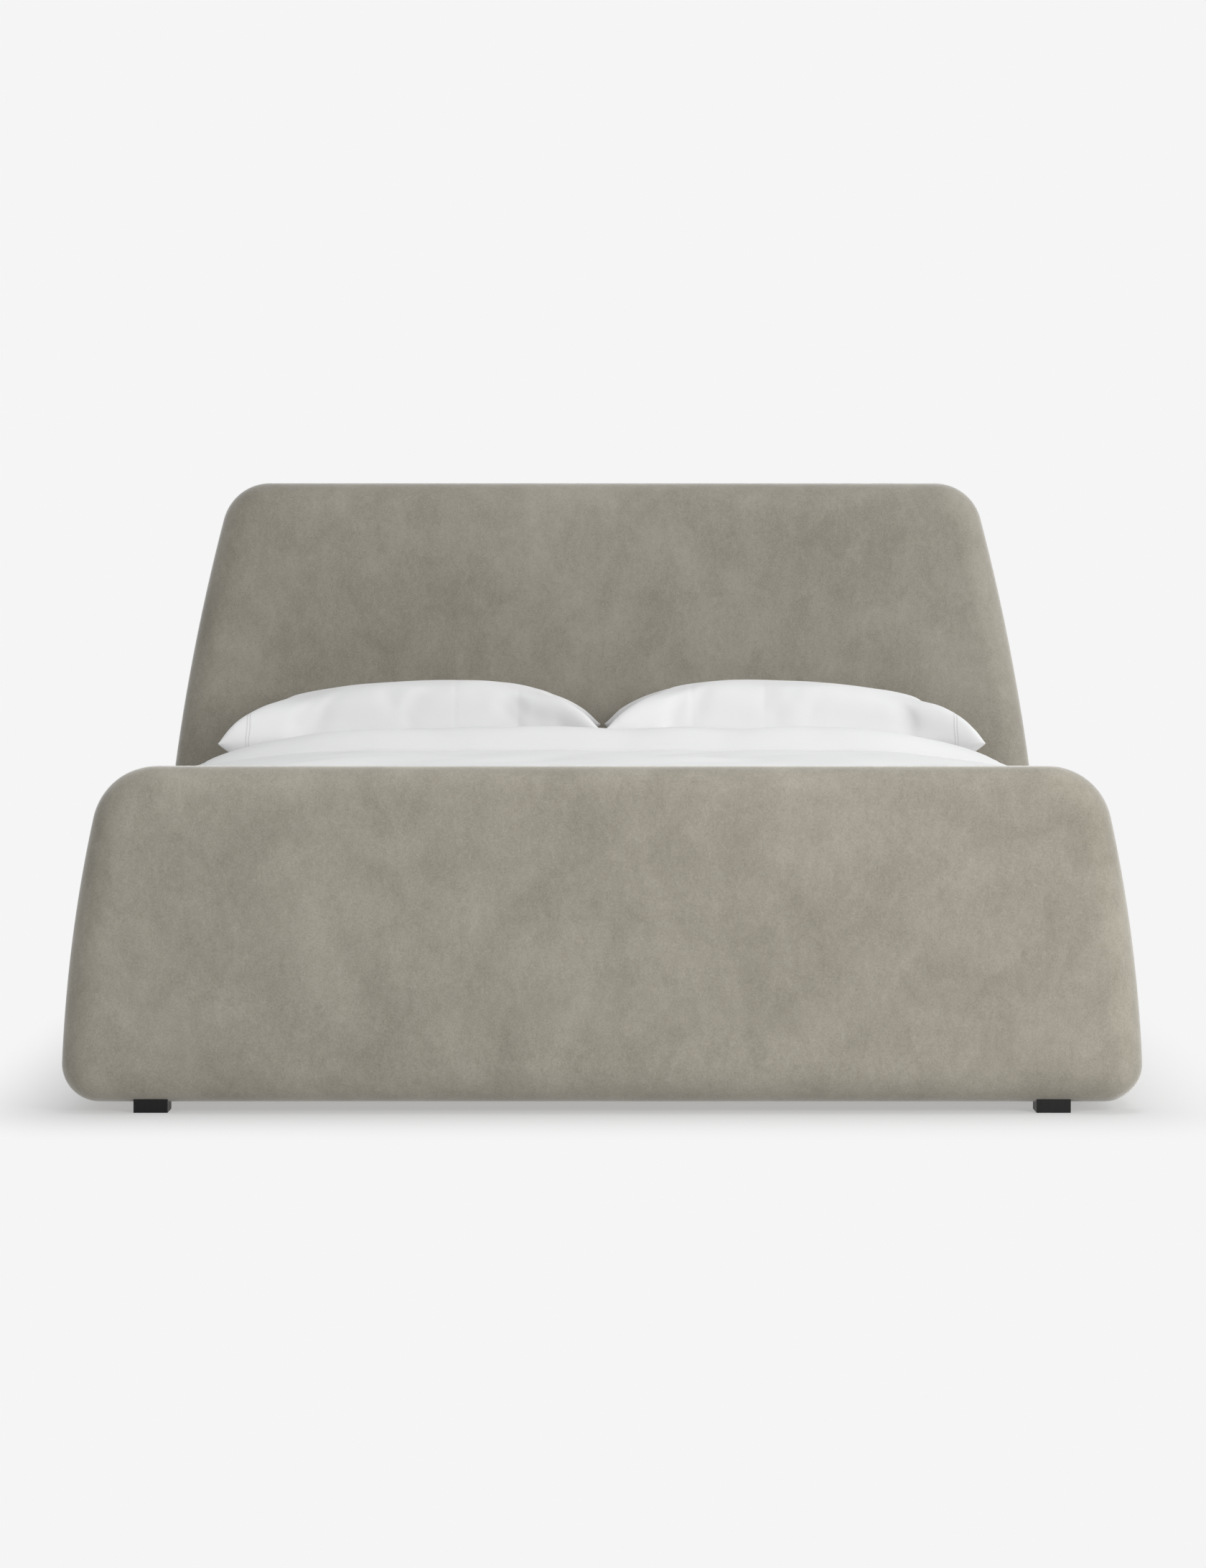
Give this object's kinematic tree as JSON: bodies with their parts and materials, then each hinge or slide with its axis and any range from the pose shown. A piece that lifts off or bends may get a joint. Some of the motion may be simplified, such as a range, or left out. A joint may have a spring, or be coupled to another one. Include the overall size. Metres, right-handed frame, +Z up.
{
  "type": "sleigh bed",
  "caption": "King-size upholstered sleigh bed: padded curved headboard and footboard, side rails, slatted base on block feet, with mattress, duvet and pillows.",
  "frame": {"origin": "on the floor under the middle of the bed's bounding box", "axes": "+X across the bed to the right as seen from the foot end, +Y from the foot end to the head end, +Z up"},
  "size_m": [2.12, 2.5118, 1.285],
  "materials": {
    "velvet": "soft mottled velvet pile in grey taupe",
    "foam": "open cell polyurethane foam",
    "plywood": "raw plywood",
    "pine": "planed pine",
    "slat_birch": "planed birch, light grain",
    "black_wood": "black lacquer, satin",
    "black_plastic": "moulded, matte",
    "black_steel": "black powder coat",
    "zinc_steel": "zinc plated",
    "mattress_ticking": "quilted knit ticking",
    "white_sheet": "white percale cotton",
    "white_duvet": "white cotton cover over down",
    "white_pillowcase": "white percale cotton"
  },
  "bodies": {
    "frame": {"beam_saddles": "black_steel", "board_bolts": "zinc_steel", "bracket_screws": "zinc_steel", "centre_beam": "pine", "foot_centre_leg": "black_wood", "foot_hanger_bolts": "zinc_steel", "foot_left_foot": "black_wood", "foot_right_foot": "black_wood", "footboard_bottom_rail": "pine", "footboard_inner_cover": "velvet", "footboard_inner_foam": "foam", "footboard_inner_panel": "plywood", "footboard_left_post": "pine", "footboard_outer_cover": "velvet", "footboard_outer_foam": "foam", "footboard_outer_panel": "plywood", "footboard_ribs": "pine", "footboard_right_post": "pine", "footboard_top_rail": "pine", "head_centre_leg": "black_wood", "head_left_foot": "black_wood", "head_right_foot": "black_wood", "headboard_bottom_rail": "pine", "headboard_inner_cover": "velvet", "headboard_inner_foam": "foam", "headboard_inner_panel": "plywood", "headboard_left_post": "pine", "headboard_outer_cover": "velvet", "headboard_outer_foam": "foam", "headboard_outer_panel": "plywood", "headboard_ribs": "pine", "headboard_right_post": "pine", "headboard_top_rail": "pine", "left_rail_cover": "velvet", "left_rail_foam": "foam", "left_rail_plank": "pine", "left_slat_ledger": "pine", "leg_bolts": "zinc_steel", "middle_centre_leg": "black_wood", "packing_blocks": "pine", "rail_brackets": "black_steel", "right_rail_cover": "velvet", "right_rail_foam": "foam", "right_rail_plank": "pine", "right_slat_ledger": "pine", "slat_screws": "zinc_steel", "slats": "slat_birch", "threaded_inserts": "zinc_steel"},
    "duvet": {"duvet": "white_duvet"},
    "mattress": {"fitted_sheet": "white_sheet", "mattress": "mattress_ticking"},
    "foot_glide": {"foot_levelling_glide": "black_plastic"},
    "head_glide": {"head_levelling_glide": "black_plastic"},
    "left_pillow": {"left_pillow": "white_pillowcase"},
    "middle_glide": {"middle_levelling_glide": "black_plastic"},
    "right_pillow": {"right_pillow": "white_pillowcase"}
  },
  "joints": [
    {"name": "mattress_lift", "type": "slide", "parent": "frame", "child": "mattress", "axis": [0, 0, 1], "range_m": [0, 0.42]},
    {"name": "duvet_lift", "type": "slide", "parent": "mattress", "child": "duvet", "axis": [0, 0, 1], "range_m": [0, 0.28]},
    {"name": "left_pillow_lift", "type": "slide", "parent": "mattress", "child": "left_pillow", "axis": [0, 0, 1], "range_m": [0, 0.25]},
    {"name": "right_pillow_lift", "type": "slide", "parent": "mattress", "child": "right_pillow", "axis": [0, 0, 1], "range_m": [0, 0.25]},
    {"name": "foot_glide_screw", "type": "slide", "parent": "frame", "child": "foot_glide", "axis": [0, 0, -1], "range_m": [0, 0.012]},
    {"name": "middle_glide_screw", "type": "slide", "parent": "frame", "child": "middle_glide", "axis": [0, 0, -1], "range_m": [0, 0.012]},
    {"name": "head_glide_screw", "type": "slide", "parent": "frame", "child": "head_glide", "axis": [0, 0, -1], "range_m": [0, 0.012]}
  ]
}
